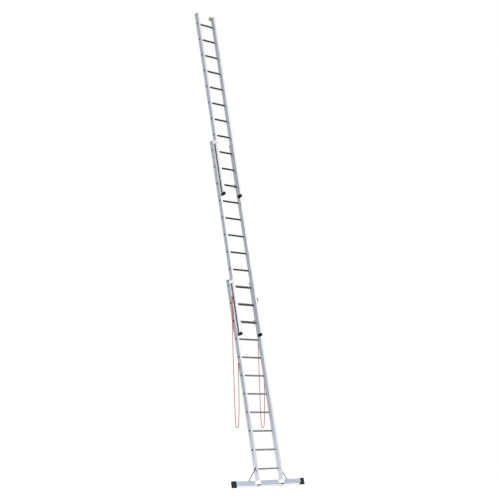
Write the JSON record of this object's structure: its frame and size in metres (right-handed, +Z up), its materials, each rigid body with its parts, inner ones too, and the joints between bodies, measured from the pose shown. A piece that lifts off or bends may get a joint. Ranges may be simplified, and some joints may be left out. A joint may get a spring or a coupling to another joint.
{
  "type": "extension ladder",
  "caption": "Tall aluminium extension ladder in nested sliding sections, with guide brackets, rung hooks, safety catches, rope loops and a wide stabiliser bar.",
  "frame": {"origin": "on the floor, midway between the stabiliser bar's two rubber feet", "axes": "+X across the ladder, +Y away from the climber towards the wall, +Z up; the ladder leans back towards +Y"},
  "size_m": [1.43, 1.7824, 7.5024],
  "materials": {
    "stile_aluminium": "brushed extruded aluminium, lightly oxidised",
    "rung_aluminium": "ribbed extruded aluminium",
    "bar_aluminium": "brushed extruded aluminium",
    "bracket_aluminium": "pressed aluminium plate",
    "hook_steel": "zinc plated",
    "catch_steel": "black coated steel",
    "strut_steel": "dark coated steel",
    "fastener_steel": "zinc plated",
    "black_plastic": "moulded, matte",
    "cap_plastic": "moulded grey",
    "foot_rubber": "moulded rubber",
    "rope": "braided red and white cord",
    "roller_plastic": "moulded grey"
  },
  "bodies": {
    "lower_section": {"lower_left_stile": "stile_aluminium", "lower_right_stile": "stile_aluminium", "lower_rung_01": "rung_aluminium", "lower_rung_02": "rung_aluminium", "lower_rung_03": "rung_aluminium", "lower_rung_04": "rung_aluminium", "lower_rung_05": "rung_aluminium", "lower_rung_06": "rung_aluminium", "lower_rung_07": "rung_aluminium", "lower_rung_08": "rung_aluminium", "lower_rung_09": "rung_aluminium", "lower_rung_10": "rung_aluminium", "lower_rung_11": "rung_aluminium", "lower_end_plugs": "black_plastic", "lower_fasteners": "fastener_steel", "lower_brackets": "bracket_aluminium", "stabiliser_bar": "bar_aluminium", "bar_caps": "foot_rubber", "bar_struts": "strut_steel", "rope_left": "rope", "rope_right": "rope"},
    "middle_section": {"middle_left_stile": "stile_aluminium", "middle_right_stile": "stile_aluminium", "middle_rung_01": "rung_aluminium", "middle_rung_02": "rung_aluminium", "middle_rung_03": "rung_aluminium", "middle_rung_04": "rung_aluminium", "middle_rung_05": "rung_aluminium", "middle_rung_06": "rung_aluminium", "middle_rung_07": "rung_aluminium", "middle_rung_08": "rung_aluminium", "middle_rung_09": "rung_aluminium", "middle_rung_10": "rung_aluminium", "middle_rung_11": "rung_aluminium", "middle_end_plugs": "black_plastic", "middle_fasteners": "fastener_steel", "middle_guides": "bracket_aluminium", "middle_hooks": "hook_steel"},
    "upper_section": {"upper_left_stile": "stile_aluminium", "upper_right_stile": "stile_aluminium", "upper_rung_01": "rung_aluminium", "upper_rung_02": "rung_aluminium", "upper_rung_03": "rung_aluminium", "upper_rung_04": "rung_aluminium", "upper_rung_05": "rung_aluminium", "upper_rung_06": "rung_aluminium", "upper_rung_07": "rung_aluminium", "upper_rung_08": "rung_aluminium", "upper_rung_09": "rung_aluminium", "upper_rung_10": "rung_aluminium", "upper_rung_11": "rung_aluminium", "upper_end_plugs": "black_plastic", "upper_fasteners": "fastener_steel", "upper_hooks": "hook_steel"},
    "middle_catch_left": {"middle_catch_left": "catch_steel"},
    "middle_catch_right": {"middle_catch_right": "catch_steel"},
    "upper_catch_left": {"upper_catch_left": "catch_steel"},
    "upper_catch_right": {"upper_catch_right": "catch_steel"},
    "wall_roller_left": {"wall_roller_left": "roller_plastic"},
    "wall_roller_right": {"wall_roller_right": "roller_plastic"}
  },
  "joints": [
    {"name": "middle_slide", "type": "slide", "parent": "lower_section", "child": "middle_section", "axis": [0, 0.2334, 0.9724], "range_m": [-2.24, 0]},
    {"name": "upper_slide", "type": "slide", "parent": "middle_section", "child": "upper_section", "axis": [0, 0.2334, 0.9724], "range_m": [-2.24, 0]},
    {"name": "middle_catch_left_hinge", "type": "hinge", "parent": "middle_section", "child": "middle_catch_left", "pos_m": [-0.1821, 0.52946, 2.41527], "axis": [-1, 0, 0], "range_deg": [0, 75], "stiffness_Nm_per_rad": 0.06, "springref_deg": -20.05},
    {"name": "middle_catch_right_hinge", "type": "hinge", "parent": "middle_section", "child": "middle_catch_right", "pos_m": [0.1821, 0.52946, 2.41527], "axis": [-1, 0, 0], "range_deg": [0, 75], "stiffness_Nm_per_rad": 0.06, "springref_deg": -20.05},
    {"name": "upper_catch_left_hinge", "type": "hinge", "parent": "upper_section", "child": "upper_catch_left", "pos_m": [-0.1491, 0.99431, 4.57852], "axis": [-1, 0, 0], "range_deg": [0, 75], "stiffness_Nm_per_rad": 0.06, "springref_deg": -20.05},
    {"name": "upper_catch_right_hinge", "type": "hinge", "parent": "upper_section", "child": "upper_catch_right", "pos_m": [0.1491, 0.99431, 4.57852], "axis": [-1, 0, 0], "range_deg": [0, 75], "stiffness_Nm_per_rad": 0.06, "springref_deg": -20.05},
    {"name": "wall_roller_left_hinge", "type": "hinge", "parent": "upper_section", "child": "wall_roller_left", "pos_m": [-0.144, 1.6904, 7.4694], "axis": [1, 0, 0], "continuous": true},
    {"name": "wall_roller_right_hinge", "type": "hinge", "parent": "upper_section", "child": "wall_roller_right", "pos_m": [0.144, 1.6904, 7.4694], "axis": [1, 0, 0], "continuous": true}
  ]
}
